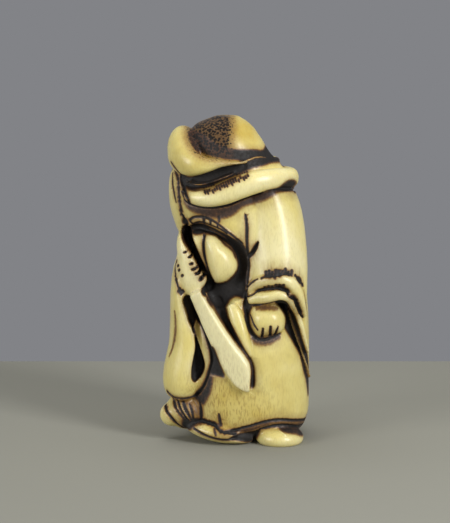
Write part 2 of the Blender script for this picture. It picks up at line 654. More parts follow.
def hand_lines():
    """The gaps between the near fingers, and the far hand's notches, dots and dashed edge."""
    wedge = dict(width=0.3, depth=0.6, ink=1, halo=0.2, thin="start")
    outline = [
        (2.5, 29), (2.7, 27.2), (3, 25.7), (3.8, 24.3), (4.8, 23.3), (6, 23), (7.3, 23.2), (8.6, 23.6),
        (9.8, 24.2),
    ]
    dash = [(-12.2, 39.3), (-12.5, 38.3), (-12.5, 36.4), (-12.1, 34.5), (-11.6, 33.5), (-10.9, 32.9)]
    dots = ((-12, 38.3), (-11.8, 37.4), (-11.1, 36.3))
    wedges = (((6, 26), (5.8, 23.6)), ((7.6, 26.5), (7.5, 23.8)), ((9.2, 26.1), (8.5, 24)))
    notch = dict(depth=1.1, ink=1, halo=0.15, thin="end")
    notches = [
        ((-9.6, 41.7), (-10.9, 41.3), 0.22),
        ((-8.6, 40.8), (-9.8, 40.3), 0.34),
        ((-8.1, 39.4), (-9.6, 38.9), 0.34),
        ((-7.7, 38.3), (-9.3, 37.7), 0.34),
        ((-7, 37.5), (-8.5, 36.8), 0.45),
        ((-6.3, 36.8), (-7.5, 35.4), 0.6),
    ]
    return [
        Line(outline, 0.36, 0.4, 1, 0.35, "end", 0.3),
        Line([(x - 0.1, z - 0.6) for x, z in outline[3:]], 0.3, 0, 0.5, 0.9, "both", 1.0),
        Line([(3.3, 28.3), (3.7, 27.4), (4.1, 26.4), (5, 25.2)], 0.22, 0.35, 1, 0.2, "both"),
        *[Line([top, foot], **wedge) for top, foot in wedges],
        Line([(4.4, 29.7), (6.8, 29.9), (9.2, 29.7)], 0.4, 0, 0.42, 0.7, "both", 0.8),
        *[Line([mouth, tip], width, **notch) for mouth, tip, width in notches],
        *[Line([(x, z), (x + 0.2, z + 0.2)], 0.22, 0.3, 1, 0.15) for x, z in dots],
        Line(dash, 0.26, 0.35, 1, 0.2, "", 1.0),
        Line([(-12, 33.3), (-11.4, 32.7), (-11, 32.2)], 0.4, 0.3, 0.8, 0.4, "both", 0.6),
    ]


def sleeve_lines():
    """The rim of the far sleeve's mouth, the edges round it and its worn fold."""
    rim = [
        (-7.8, 26.9), (-7, 26), (-5.9, 23.4), (-4.9, 20), (-4.8, 18.2), (-5.4, 16), (-6, 14), (-7.1, 11.7),
        (-8.5, 10.2), (-10.6, 9.8), (-12.8, 10), (-14.2, 11),
    ]
    return [
        Line(rim, 0.36, 0.6, 1, 0.4),
        Line([(-9, 27), (-8.8, 25.6), (-8.5, 24.4)], 0.26, 0.5, 1, 0.25, "start", 0.7),
        Line([(-11.4, 31.4), (-10.4, 29), (-9.8, 27.2)], 0.2, -0.2, -0.5, 0.2, "both"),
        Line(
            [(-12.7, 28.8), (-12.5, 26.7), (-12.6, 23.4), (-13.2, 20.5), (-14, 18.4)],
            0.25, 0.2, 0.4, 0.5, "both",
        ),
    ]


def train_lines():
    """The ball's edge and the folds of the gathered cloth."""
    fold = dict(depth=0.4, halo=0.3, thin="both")
    return [
        Line(
            [(-14.8, 8.4), (-14.6, 6.9), (-14.1, 6.2), (-13.3, 5.2), (-12.2, 4), (-11, 3)],
            0.26, 0.5, 1, 0.3,
        ),
        Line([(-14.7, 9), (-14.5, 7.4), (-14.3, 6)], 0.3, 0.2, 0.6, 0.4, "both", 0.8),
        Line([(-13.1, 9.9), (-12.6, 7.8), (-11.6, 6.3), (-10.4, 5)], 0.26, ink=0.85, ragged=0.9, **fold),
        Line([(-12.2, 9.6), (-11.5, 7.6), (-10.5, 5.9), (-9.6, 4.7)], 0.24, ink=1, **fold),
        Line([(-11.8, 9.7), (-11.1, 7.6), (-10, 5.8), (-9.2, 4.6)], 0.18, -0.3, -0.5, 0.1, "both"),
        Line([(-11, 9.2), (-10.3, 7.3), (-9.3, 5.4)], 0.34, ink=1, **fold),
        Line([(-9.6, 8.6), (-9, 7), (-8.7, 5)], 0.26, ink=0.95, **fold),
        Line([(-7.4, 9.2), (-7.1, 7.4), (-7, 4.8)], 0.34, ink=1, **fold),
    ]


def hem_lines():
    """The double line of the hem, the edges of the far foot and the crease along the near one."""
    upper = [
        (-2, 3.2), (0.4, 3.4), (1.5, 3.8), (3.3, 4.3), (5.1, 4.9), (7.4, 5.4), (9.8, 5.5), (12.2, 5),
        (14, 4.5), (15.2, 4),
    ]
    lower = [
        (4.6, 3), (5.6, 3.6), (6.7, 3.9), (8, 4.2), (9.2, 4.3), (11, 4.1), (12.8, 3.5), (14.2, 3),
        (15.2, 2.8),
    ]
    return [
        Line(upper, 0.3, 0.45, 1, 0.3, "", 0.3),
        Line(lower, 0.3, 0.45, 1, 0.3, "start", 0.3),
        Line(
            [
                (-8.4, 4.4), (-7.4, 4.8), (-6.2, 4.8), (-5.1, 4.6), (-4.1, 4.3), (-3.2, 3.5), (-2.2, 3.1),
                (0.2, 2.8),
            ],
            0.42, 0.5, 1, 0.4, "", 0.5,
        ),
        Line([(-3.3, 7), (-3.1, 5.6), (-2.9, 4.4)], 0.24, 0.2, 0.85, 0.3, "start"),
        Line([(-8.6, 3.4), (-7, 2.6), (-5.3, 2), (-3.5, 1.6), (-1.8, 1.5), (0.4, 1.7)], 0.24, 0.3, 1, 0.2),
        Line([(-4.3, 3.9), (-3.9, 2.1)], 0.2, 0.15, 0.8, 0.2, "both"),
        Line([(9.2, 3.3), (10, 2.9), (11, 2.4)], 0.3, -0.35, -0.3, 0, "both"),
    ]


def back_lines():
    """Plainer cuts on the sides and the back: the brim, the hem, the hood's edge and a few folds."""
    brim = [
        (12.6, -3, 53.6), (12.4, 2, 53), (10, 7.2, 52.4), (4, 10.4, 51.8), (-3, 10.2, 51.6), (-9, 8, 51.6),
        (-12, 4, 52.2),
    ]
    hem = [
        (15.8, -3, 4.4), (15.9, 2, 4.6), (13.6, 8, 5), (8, 11.4, 4.6), (1, 12, 4.4), (-5, 10.6, 4.8),
        (-10, 6, 5.4),
    ]
    folds = [
        [(10.4, 11, 30), (8.6, 12, 20), (9.6, 12, 9)],
        [(-7.4, 10, 38), (-8.4, 10, 24), (-6.4, 10, 9)],
        [(0.8, 12, 22), (1.8, 12, 14), (0.6, 12, 8)],
        [(15.4, 6, 30), (16, 6.6, 18), (14.6, 8, 9)],
        [(-11, 6, 34), (-10.6, 8, 22), (-10.2, 7, 12)],
    ]
    hood = [(-10.6, 7, 46), (-7, 9.8, 42.6), (-1, 10.6, 41.4), (5, 10.8, 42.4), (9.6, 9.6, 45.6)]
    groove = [(10, 0, 59), (9, 4.8, 58.4), (4, 8.8, 58), (-4, 9, 57.8), (-9.4, 6.4, 58), (-12, 1, 58)]
    return [
        Line(brim, 0.4, 0.5, 1, 0.5),
        Line(groove, 0.8, 0.8, 1, 0.5),
        Line(hem, 0.34, 0.4, 0.95, 0.35),
        Line([(x, y, z - 1.3) for x, y, z in hem], 0.3, 0.35, 0.9, 0.35),
        Line(hood, 0.4, 0.5, 0.95, 0.4, "both"),
        *[Line(fold, 0.45, 0.5, 0.8, 0.5, "both") for fold in folds],
    ]


def dark_grounds():
    """The broad dark grounds: in the hat, round the belly and the blade, and in the sleeves."""
    crown_foot = [
        (-9.6, 66), (-9, 64.4), (-8, 62.9), (-6, 62), (-3, 61.4), (-1.8, 61.1), (0.6, 60.9), (1.4, 60.6),
        (-0.2, 59.9), (0.6, 58.6), (2, 58.5), (4, 59.2), (6, 59.5), (8, 59.8), (10.8, 59.4), (9.4, 61.2),
        (7.8, 62.9), (6.9, 64.2), (6.7, 63), (6, 62.3), (4.1, 62.7), (2.1, 62.8), (-0.9, 63.1), (-3, 63.6),
        (-5, 64.6), (-7, 66),
    ]
    groove = [
        (-11, 57.5), (-9.6, 57), (-7.2, 57.6), (-4.8, 58.5), (-3, 59.2), (-1.4, 59.7), (0.6, 59.9),
        (2.2, 60.3), (2.4, 59), (1.1, 58.1), (-1.2, 57), (-2.4, 56.6), (-4.2, 55.8), (-6, 55.1),
        (-8.9, 54.6), (-10.4, 55), (-11.3, 56.2),
    ]
    under_roll = [
        (-10.6, 51.8), (-8.4, 51.2), (-5.2, 50.9), (-2.2, 51.3), (2, 52.9), (6.1, 54.3), (8.4, 54.9),
        (9.6, 54.3), (8.1, 53.4), (6.7, 52.6), (4.1, 51.7), (1.6, 50.9), (0.4, 49.8), (-1.4, 48.8),
        (-4.1, 48.6), (-7.3, 49.3), (-9.8, 50.4),
    ]
    roll_hollow = [
        (8.5, 54.3), (9.2, 54.9), (10.2, 55.7), (11.2, 56.3), (12.2, 56.3), (13, 55.6), (12.9, 54.8),
        (12, 54.4), (10.2, 54.2),
    ]
    by_hand = [
        (-10.9, 46), (-11.1, 44.3), (-10.6, 43.2), (-9.8, 42), (-8.8, 40.5), (-8.1, 39.3), (-7.7, 38.1),
        (-7.1, 37.3), (-6.3, 36.9), (-5.8, 35.8), (-6.4, 34.2), (-7, 33.6), (-6.2, 32.4), (-4.4, 33),
        (-4.4, 34.8), (-5.3, 36.6), (-6.1, 38.3), (-7, 40), (-7.9, 42), (-8.7, 43.7), (-9, 45.4),
        (-10, 46.4),
    ]
    round_belly = [
        (-9, 46.9), (-6.8, 47.2), (-5.1, 46.7), (-3.3, 45.9), (-1.5, 45.1), (0.2, 44.2), (2, 42.8),
        (2.8, 41.4), (3.1, 39), (2.7, 36.6), (2.5, 34), (2.3, 31.4), (1.4, 31.6), (0.2, 31.7), (-1, 31),
        (-1.9, 29.8), (-3.8, 29.4), (-5.8, 32), (-5.4, 34), (-4.4, 34.6), (-3.4, 34.3), (-2.2, 34.4),
        (-0.7, 35.2), (0.3, 36.4), (0.8, 38.3), (0.6, 39.6), (0, 41.1), (-0.9, 42.5), (-2.5, 43.7),
        (-4.1, 44.8), (-6.3, 45.2), (-8.9, 45.1),
    ]
    by_blade = [
        (-4.9, 31), (-3.9, 29), (-2.8, 27.2), (-0.8, 24.2), (0.9, 21.9), (2.4, 19.9), (3.3, 18.3),
        (3.6, 16.4), (3.5, 12.8), (4, 12.8), (4.2, 15), (4, 17.4), (3.3, 19.2), (2.2, 21), (0.9, 23.4),
        (-0.3, 25.7), (-1.4, 27.6), (-1.9, 29.6), (-3, 31.6),
    ]
    wedge = [
        (-10.8, 31.4), (-9.6, 31.9), (-9, 31), (-8.4, 29.6), (-7.4, 27.3), (-7.2, 26.4), (-8, 26.8),
        (-8.8, 25.4), (-9.3, 26), (-10.1, 28.2),
    ]
    by_sleeve = [
        (-4.6, 21.6), (-5, 19.6), (-4.9, 17.6), (-5.4, 15.6), (-3.9, 15.3), (-2.2, 15.1), (-2.9, 17.3),
    ]
    under_sleeve = [
        (-5.5, 15.8), (-4.7, 15), (-4.9, 12.4), (-5.7, 10.2), (-6.6, 8.6), (-7.4, 8.8), (-8.4, 9.8),
        (-7.1, 11.2), (-6.1, 13.2),
    ]
    mouth = [
        (8.6, 31.2), (9.6, 31.7), (10.8, 31.4), (11.9, 29.4), (12.8, 27.6), (13.6, 25.3), (14.3, 22.8),
        (14.9, 20.9), (15.5, 18.9), (15.9, 15), (16, 11), (15.9, 9), (15.6, 11.4), (15.3, 13.3),
        (14.8, 15.2), (14.3, 17.4), (13.8, 19.2), (13.2, 20.5), (12.7, 21.4), (12, 22.8), (11.1, 24.3),
        (10.7, 25), (10.9, 26.3), (10.8, 27.6), (10.2, 28.9), (9.6, 29.9),
    ]
    fist_corner = [
        (1.9, 30.4), (2.4, 32), (2.9, 31), (3, 30.2), (3.6, 29.9), (3.3, 29), (2.9, 27.8), (2.5, 27.8),
        (2, 29),
    ]
    gathered = [
        (-10.8, 5.4), (-9.4, 5.6), (-8.2, 5.4), (-6.6, 5), (-7, 4.4), (-7.8, 4.2), (-8.6, 3.8), (-9.8, 2.8),
        (-11, 3.2),
    ]
    between_feet = [
        (0.6, 2.5), (2.4, 2.7), (3.8, 2.9), (5.4, 3.2), (5.1, 2.2), (4.5, 1), (3, 0.6), (1, 1.2), (-1, 1.7),
    ]
    hem_band = [
        (-0.4, 3.2), (1.5, 3.6), (3.3, 4.2), (5.1, 4.8), (7.4, 5.3), (9.8, 5.4), (12.2, 4.9), (15.2, 4),
        (15.2, 3), (12.8, 3.6), (11, 4.2), (9.2, 4.4), (6.7, 4), (4.6, 3.1), (2, 2.8),
    ]
    under_hem = [
        (9.2, 4), (11, 3.9), (12.8, 3.3), (15, 2.6), (14.8, 1.5), (13, 2.4), (11.2, 2.8), (9.8, 3.3),
    ]
    train = [(-12.6, 9.8), (-9.6, 9.8), (-7.2, 9.2), (-7, 5), (-9, 4.4), (-11, 4), (-12.2, 6)]
    return [
        Area(crown_foot, 1, 0.35),
        Area(groove, 1, 0.3, 0.5),
        Area(under_roll, 0.62, 0.5),
        Area(roll_hollow, 0.85, 0.4, 0.9),
        Area(by_hand, 1, 0.25, 0.9),
        Area(round_belly, 1, 0.3, 0.4),
        Area(by_blade, 1, 0.3, 0.7),
        Area(wedge, 1, 0.2, 1.3),
        Area(SLIT, 1, 0.15),
        Area(by_sleeve, 1, 0.3, 0.3),
        Area(under_sleeve, 0.8, 0.5),
        Area(mouth, 1, 0.22, 1.2),
        Area(fist_corner, 1, 0.25, 0.6),
        Area(gathered, 0.95, 0.4, 0.2),
        Area(between_feet, 1, 0.3, 0.8),
        Area(hem_band, 0.5, 0.25),
        Area(under_hem, 0.72, 0.25, 0.15),
        Area(train, 0.34, 1.2),
    ]


def tones():
    """Where the ivory is paler than the rest, because it is handled, and where it has stayed yellower."""
    arm = [(3, 48), (9, 50), (14, 46), (15, 36), (9, 37), (4, 36)]
    belly = [(-6, 44), (-3, 43), (0, 40), (0, 37), (-3, 36), (-6, 40)]
    lower_robe = [(-5, 14), (-1, 11), (4, 10), (8, 9), (9, 6), (2, 4.4), (-4, 5.6)]
    flap = [(-13, 66), (-10.6, 67), (-9, 63), (-5, 61), (-8, 58.4), (-12, 60)]
    crown = [(-1, 69), (3, 69), (6, 64), (4, 63), (0, 63)]
    roll = [(-9, 53), (-4, 55), (2, 57), (10, 59), (13, 56), (6, 55), (-2, 52)]
    return [
        Area(BLADE_BLUNT + BLADE_SHARP[::-1], 0.5, 0.6),
        Area([(-12, 44), (-9, 41), (-6, 36), (-9, 32), (-12.4, 35)], 0.3, 1),
        Area(arm, 0.35, 3),
        Area(belly, 0.15, 2),
        Area(roll, 0.2, 1.5),
        Area(lower_robe, -0.3, 5),
        Area(flap, -0.25, 3),
        Area(crown, -0.3, 2),
    ]


STIPPLED = [
    (-10, 67.6), (-10.2, 65.4), (-9.2, 63.4), (-7.3, 61.9), (-4.2, 61.2), (-0.1, 61.1), (-0.2, 63),
    (-0.5, 64.8), (-0.2, 67), (-0.6, 70), (-5, 70.6), (-9, 69.4),
]
GRAINED = [(-6.6, 14), (-3.4, 15.4), (0, 11.5), (5, 10.4), (6.4, 6), (3, 5), (-2, 4.2), (-6.4, 6)]


# ---- fusing, wearing and cutting -----------------------------------------------------


def new_mesh(name, surface):
    """A mesh made from a surface's points and triangles."""
    points, triangles = surface
    mesh = bpy.data.meshes.new(name)
    mesh.from_pydata(points.tolist(), [], triangles.tolist())
    return mesh


def place(name, mesh):
    """An object for the mesh, put in the scene unturned and unscaled at the origin."""
    piece = bpy.data.objects.new(name, mesh)
    bpy.context.scene.collection.objects.link(piece)
    return piece


def cleared(piece):
    """Takes a working object and its mesh away again."""
    mesh = piece.data
    bpy.data.objects.remove(piece)
    bpy.data.meshes.remove(mesh)


def finished(piece):
    """The piece's mesh with its modifiers worked out."""
    graph = bpy.context.evaluated_depsgraph_get()
    return bpy.data.meshes.new_from_object(piece.evaluated_get(graph), depsgraph=graph)


def fused(forms, cutters, voxel):
    """The forms as one skin of even squares, with the cutters taken out of them."""
    body = place("forms", new_mesh("forms", joined(forms)))
    tools = place("cutters", new_mesh("cutters", joined(cutters)))
    for piece in (tools, body):
        remesh = piece.modifiers.new("fuse", "REMESH")
        remesh.mode, remesh.voxel_size = "VOXEL", voxel
    cut = body.modifiers.new("cut", "BOOLEAN")
    cut.operation, cut.solver, cut.object = "DIFFERENCE", "MANIFOLD", tools
    remesh = body.modifiers.new("even", "REMESH")
    remesh.mode, remesh.voxel_size = "VOXEL", voxel
    mesh = finished(body)
    cleared(body)
    cleared(tools)
    return mesh


def read(data, field, width, kind=float):
    """One field of all the mesh's elements as an array, width numbers to a row."""
    values = np.empty(len(data) * width, kind)
    data.foreach_get(field, values)
    return values.reshape(-1, width)


def surface_of(mesh):
    """The mesh's points and triangles."""
    mesh.calc_loop_triangles()
    return read(mesh.vertices, "co", 3), read(mesh.loop_triangles, "vertices", 3, np.int32)


def relaxed(values, edges, rounds, amount=0.5):
    """Each point's values moved part of the way to the mean of its neighbours', rounds times over."""
    a, b = edges.T
    size = len(values)
    share = amount / np.bincount(edges.ravel(), minlength=size)
    columns = list(values.T)
    for _ in range(rounds):
        columns = [
            c * (1 - amount) + (np.bincount(a, c[b], size) + np.bincount(b, c[a], size)) * share
            for c in columns
        ]
    return np.stack(columns, axis=1)


def inside(places, outline):
    """Whether each place lies inside a closed outline: a ray to the right crosses it an odd number of
    times."""
    ax, az = outline.T
    bx, bz = np.roll(outline, -1, axis=0).T
    x, z = places[:, :1], places[:, 1:]
    spans = (az > z) != (bz > z)
    with np.errstate(divide="ignore", invalid="ignore"):
        crossing = ax + (z - az) / (bz - az) * (bx - ax)
    return (spans & (x < crossing)).sum(1) % 2 == 1


def nearest(places, route):
    """How far each place is from a route, and how far along the route its nearest point lies, 0 to 1."""
    start, along = route[:-1], np.diff(route, axis=0)
    share = ((places[:, None] - start) * along).sum(2) / (along**2).sum(1)
    share = share.clip(0, 1)
    gap = np.linalg.norm(places[:, None] - start - share[..., None] * along, axis=2)
    k = gap.argmin(1)
    rows = np.arange(len(places))
    return gap[rows, k], (k + share[rows, k]) / len(along)


def laid(piece, path):
    """A path put down on the piece: places across and up come from the front, and points with a depth
    of their own move to the nearest part of the surface."""
    corners = np.array(path, float)
    length = np.linalg.norm(np.diff(corners, axis=0), axis=1).sum()
    route = []
    for point in smooth_path(corners, max(3, int(length / LAID_STEP))):
        if len(point) == 2:
            found, hit, _, _ = piece.ray_cast(Vector((point[0], AHEAD, point[1])), BACKWARDS)
        else:
            found, hit, _, _ = piece.closest_point_on_mesh(Vector(point))
        if found:
            route.append(hit)
    if len(route) < 2:
        raise RuntimeError(f"the path from {path[0]} misses the carving")
    return np.array(route)


def run_out(t, thin):
    """How a line's width closes in towards its ends, over two fifths of its length: the square root of
    the way from the end."""
    start, end = np.sqrt((t * 2.5).clip(0, 1)), np.sqrt(((1 - t) * 2.5).clip(0, 1))
    return {"": np.ones_like(t), "start": start, "end": end, "both": start * end}[thin]


def cut_in(points, normals, piece, lines):
    """Cuts the lines into the surface and lays their stain. A cut is depth * (1 - (gap / width) ** 2) ** 2
    deep, and its stain falls evenly from full inside the cut to nothing at the end of its halo."""
    sunk, lifted, stain, rubbed = np.zeros((4, len(points)))
    for line in lines:
        route = laid(piece, line.path)
        margin = line.width * 1.4 + line.halo
        low, high = route.min(0) - margin, route.max(0) + margin
        near = np.flatnonzero(((points > low) & (points < high)).all(1))
        gap, t = nearest(points[near], route)
        uneven = 1 + line.ragged * 0.5 * np.sin(t * len(route) * 1.9 + np.sin(t * len(route) * 0.8) * 2)
        width = line.width * run_out(t, line.thin) * uneven + 1e-6
        shape = (1 - (gap / width).clip(0, 1) ** 2) ** 2
        heights = sunk if line.depth > 0 else lifted
        heights[near] = np.maximum(heights[near], shape * abs(line.depth))
        reach = (1 - (gap - width * 0.6) / (width * 0.4 + line.halo)).clip(0, 1) * (width > 0.02)
        inked = stain if line.ink > 0 else rubbed
        inked[near] = np.maximum(inked[near], reach * abs(line.ink))
    return points + normals * (lifted - sunk)[:, None], stain, rubbed


def area_share(points, normals, outline, soft):
    """1 well inside an outline on the front and 0 well outside it, evenly between over its soft edge."""
    edge = smooth_path(outline, len(outline) * 6, closed=True)
    low, high = edge.min(0) - soft, edge.max(0) + soft
    places = points[:, [0, 2]]
    on_front = (normals[:, 1] < LEANS_BACK) & (points[:, 1] < FRONT_DEPTH)
    near = np.flatnonzero(((places > low) & (places < high)).all(1) & on_front)
    gap, _ = nearest(places[near], np.vstack([edge, edge[:1]]))
    gap = np.where(inside(places[near], edge), -gap, gap)
    facing = ((LEANS_BACK - normals[near, 1]) / 0.3).clip(0, 1)
    share = np.zeros(len(points))
    share[near] = (0.5 - gap / soft / 2).clip(0, 1) * facing
    return share


def normals_of(points, triangles):
    """Each point's outward direction: the mean of the triangles round it, by their size."""
    a, b, c = points[triangles].transpose(1, 0, 2)
    faces = np.cross(b - a, c - a)
    normals = np.stack(
        [sum(np.bincount(corner, face, len(points)) for corner in triangles.T) for face in faces.T], axis=1
    )
    return normals / np.linalg.norm(normals, axis=1, keepdims=True).clip(1e-12)


def all_lines():
    """Every line that is cut, in the order in which they are laid down."""
    return [
        *hat_lines(),
        *hood_lines(),
        *cape_lines(),
        *arm_lines(),
        *hand_lines(),
        *sleeve_lines(),
        *train_lines(),
        *hem_lines(),
        *back_lines(),
    ]


def roughed_out(voxel):
    """All the forms fused, with the hollows of the hood and the chest, the slit and the tunnel cut."""
    face, hood_hollow = head()
    chest_forms, chest_hollow = chest()
    sleeve_forms, slit = far_sleeve()
    robe, arm = loft(ROBE), near_sleeve()
    block = fused([robe, loft(HOOD)], [hood_hollow, chest_hollow], voxel)
    forms = [
        surface_of(block),
        face,
        *chest_forms,
        *arm,
        *cuffs(joined([robe, *arm])),
        *hat(),
        *sleeve_forms,
        *fist(),
        *hem_and_feet(),
        grip(),
        blade(),
    ]
    bpy.data.meshes.remove(block)
    return fused(forms, [slit, *cord_tunnel()], voxel)


def thinned(mesh, plain, triangles):
    """The mesh with fewer triangles, taken mostly from where plain says that little is carved."""
    piece = place("thinned", mesh)
    group = piece.vertex_groups.new(name="plain")

    # A light weight where lines are cut keeps the triangles there, and a full one gives up the rest.
    for low, high, weight in ((0, 0.5, 0.12), (0.5, 2, 1.0)):
        group.add(np.flatnonzero((plain >= low) & (plain < high)).tolist(), weight, "REPLACE")
    mesh.calc_loop_triangles()
    collapse = piece.modifiers.new("thin", "DECIMATE")
    collapse.ratio = triangles / len(mesh.loop_triangles)
    collapse.vertex_group, collapse.vertex_group_factor = group.name, 6
    result = finished(piece)
    cleared(piece)
    return result


def give(mesh, name, values):
    """Stores a value for each point under a name, for the material to read."""
    layer = mesh.attributes.new(name, "FLOAT", "POINT")
    layer.data.foreach_set("value", values)


# ---- materials ----------------------------------------------------------------------


def linear(colour):
    """A colour written as sRGB hex, turned to the linear values that the shader wants."""
    parts = np.array([int(colour[i : i + 2], 16) for i in (1, 3, 5)]) / 255
    parts = np.where(parts < 0.04045, parts / 12.92, ((parts + 0.055) / 1.055) ** 2.4)
    return tuple(parts.tolist())


# A colour mix's sockets go by number, because their names repeat: its share, the colour under and over.
SHARE, UNDER, OVER, MIXED = 0, 6, 7, 2


def node(tree, kind, *inputs, out=0, **settings):
    """Adds a node with its settings, gives its inputs their links or values, and returns an output, or
    the node where out is None. Each input is a pair: a socket's name or number, and a value or output."""
    made = tree.nodes.new(kind)
    for name, value in settings.items():
        setattr(made, name, value)
    for socket, value in inputs:
        if isinstance(value, bpy.types.NodeSocket):
            tree.links.new(value, made.inputs[socket])
        else:
            made.inputs[socket].default_value = value
    return made if out is None else made.outputs[out]


def bare_material(name):
    """A material without nodes yet, and a function that adds them to it."""
    material = bpy.data.materials.new(name)
    material.use_nodes = True
    material.node_tree.nodes.clear()
    return material, partial(node, material.node_tree)


def ivory(looks):
    """Ivory, carved, stained in its recesses and polished by years of handling: a warm cream, palest
    where it is rubbed, ochre round the stain, and nearly black in the cuts and the punched ground."""
    material, add = bare_material("stained polished ivory")
    mixed = dict(data_type="RGBA", out=MIXED)
    where = add("ShaderNodeTexCoord", out="Object")
    stain, glow, worn, grain, stipple = [
        add("ShaderNodeAttribute", attribute_name=name, out="Fac")
        for name in ("stain", "glow", "worn", "grain", "stipple")
    ]
    clouds = add("ShaderNodeTexNoise", ("Vector", where), ("Scale", 1 / (5 * MM)), ("Detail", 2))
    specks = add("ShaderNodeTexNoise", ("Vector", where), ("Scale", 1 / (0.5 * MM)), ("Detail", 3))
    blots = add("ShaderNodeTexNoise", ("Vector", where), ("Scale", 1 / (1.6 * MM)), ("Detail", 2))

    # The ivory itself: yellow where it lies low, cream where it is rubbed, in clouds some 5 mm across.
    tone = add("ShaderNodeMath", (0, clouds), (1, 0.5), (2, worn), operation="MULTIPLY_ADD")
    low = add("ShaderNodeMapRange", ("Value", tone), ("From Min", 0.3), ("From Max", 0.7))
    high = add("ShaderNodeMapRange", ("Value", tone), ("From Min", 0.7), ("From Max", 1.15))
    colour = add("ShaderNodeMix", (SHARE, low), (UNDER, (*looks.deep, 1)), (OVER, (*looks.plain, 1)), **mixed)
    colour = add("ShaderNodeMix", (SHARE, high), (UNDER, colour), (OVER, (*looks.rubbed, 1)), **mixed)

    # Fine streaks along the tusk, drawn about twice as coarse as they are, so that they show.
    stretched = add("ShaderNodeMapping", ("Vector", where), ("Scale", (1, 1, 0.24)))
    streaks = add("ShaderNodeTexNoise", ("Vector", stretched), ("Scale", 1 / (0.3 * MM)), ("Detail", 2))
    streaks = add("ShaderNodeMapRange", ("Value", streaks), ("From Min", 0.52), ("From Max", 0.36))
    share = add("ShaderNodeMath", (0, grain), (1, 0.55), (2, 0.1), operation="MULTIPLY_ADD")
    share = add("ShaderNodeMath", (0, share), (1, streaks), operation="MULTIPLY")
    colour = add("ShaderNodeMix", (SHARE, share), (UNDER, colour), (OVER, (*looks.halo, 1)), **mixed)

    # The stain: an ochre glow, then brown, then nearly black, all broken up by the surface's unevenness.
    broken = add("ShaderNodeMath", (0, specks), (1, 0.9), (2, 0.3), operation="MULTIPLY_ADD")
    broken = add("ShaderNodeMath", (0, blots), (1, 0.5), (2, broken), operation="MULTIPLY_ADD")
    stain = add("ShaderNodeMath", (0, stain), (1, broken), operation="MULTIPLY")
    glow = add("ShaderNodeMath", (0, glow), (1, broken), operation="MULTIPLY")
    for value, start, end, full, tint in (
        (glow, 0.04, 0.5, 0.75, looks.halo),
        (stain, 0.08, 0.3, 0.9, looks.halo),
        (stain, 0.25, 0.5, 1, looks.brown),
        (stain, 0.48, 0.8, 1, looks.black),
    ):
        share = add(
            "ShaderNodeMapRange", ("Value", value), ("From Min", start), ("From Max", end), ("To Max", full)
        )
        colour = add("ShaderNodeMix", (SHARE, share), (UNDER, colour), (OVER, (*tint, 1)), **mixed)

    # Punched dots, about 0.5 mm apart. Each grows with the mask, and they run together where it is full.
    dots = add("ShaderNodeTexVoronoi", ("Vector", where), ("Scale", 1 / (0.52 * MM)))
    dusk = add(
        "ShaderNodeMapRange", ("Value", stipple), ("From Min", 0.45), ("From Max", 0.95), ("To Max", 0.85)
    )
    colour = add("ShaderNodeMix", (SHARE, dusk), (UNDER, colour), (OVER, (*looks.brown, 1)), **mixed)
    reach = add("ShaderNodeMath", (0, stipple), (1, 0.62), operation="MULTIPLY")
    inside_dot = add("ShaderNodeMath", (0, reach), (1, dots), operation="SUBTRACT")
    punched = add("ShaderNodeMapRange", ("Value", inside_dot), ("From Min", 0), ("From Max", 0.12))
    colour = add("ShaderNodeMix", (SHARE, punched), (UNDER, colour), (OVER, (*looks.black, 1)), **mixed)

    rough = add("ShaderNodeMath", (0, specks), (1, 0.14), (2, looks.roughness), operation="MULTIPLY_ADD")
    rough = add("ShaderNodeMath", (0, stain), (1, 0.4), (2, rough), operation="MULTIPLY_ADD", use_clamp=True)
    bump = add("ShaderNodeBump", ("Height", specks), ("Strength", 0.1), ("Distance", 0.1 * MM))
    shader = add(
        "ShaderNodeBsdfPrincipled",
        ("Base Color", colour),
        ("Roughness", rough),
        ("Normal", bump),
        ("IOR", 1.54),
        ("Subsurface Weight", 0.1),
        ("Subsurface Radius", (1, 0.7, 0.35)),
        ("Subsurface Scale", 1.2 * MM),
    )
    add("ShaderNodeOutputMaterial", ("Surface", shader), out=None)
    return material


# ---- settings ----------------------------------------------------------------------


def colour_setting(name, description, colour):
    """A colour that can be picked, with an sRGB hex default."""
    return FloatVectorProperty(
        name=name, description=description, default=linear(colour), size=3, min=0, max=1, subtype="COLOR"
    )


class NETSUKE_PG_carving(PropertyGroup):
    """How finely the carving is made, and how worn it is"""

    voxel: FloatProperty(
        name="Grain of the form", description="Edge of the squares that the forms are fused in",
        default=0.22 * MM, min=0.15 * MM, max=1 * MM, precision=5, unit="LENGTH",
    )
    wear: IntProperty(
        name="Wear", description="Rounds of rubbing down before the lines are cut", default=3, min=0
    )
    triangles: IntProperty(
        name="Triangles", description="Most triangles that the finished carving keeps",
        default=195000, min=1000,
    )


class NETSUKE_PG_ivory(PropertyGroup):
    """The ivory's colours and polish"""

    rubbed: colour_setting("Rubbed", "Ivory where hands have rubbed it palest", "#ebe2b0")
    plain: colour_setting("Plain", "Ivory over most of the surface", "#dccd80")
    deep: colour_setting("Deep", "Ivory where it lies low and has yellowed", "#bfa54a")
    halo: colour_setting("Halo", "Ochre glow round the stain", "#86602a")
    brown: colour_setting("Brown", "Thin stain", "#4a3020")
    black: colour_setting("Black", "Full stain", "#15100d")
    roughness: FloatProperty(
        name="Roughness", description="Roughness of the polished ivory",
        default=0.25, min=0, max=1, subtype="FACTOR",
    )


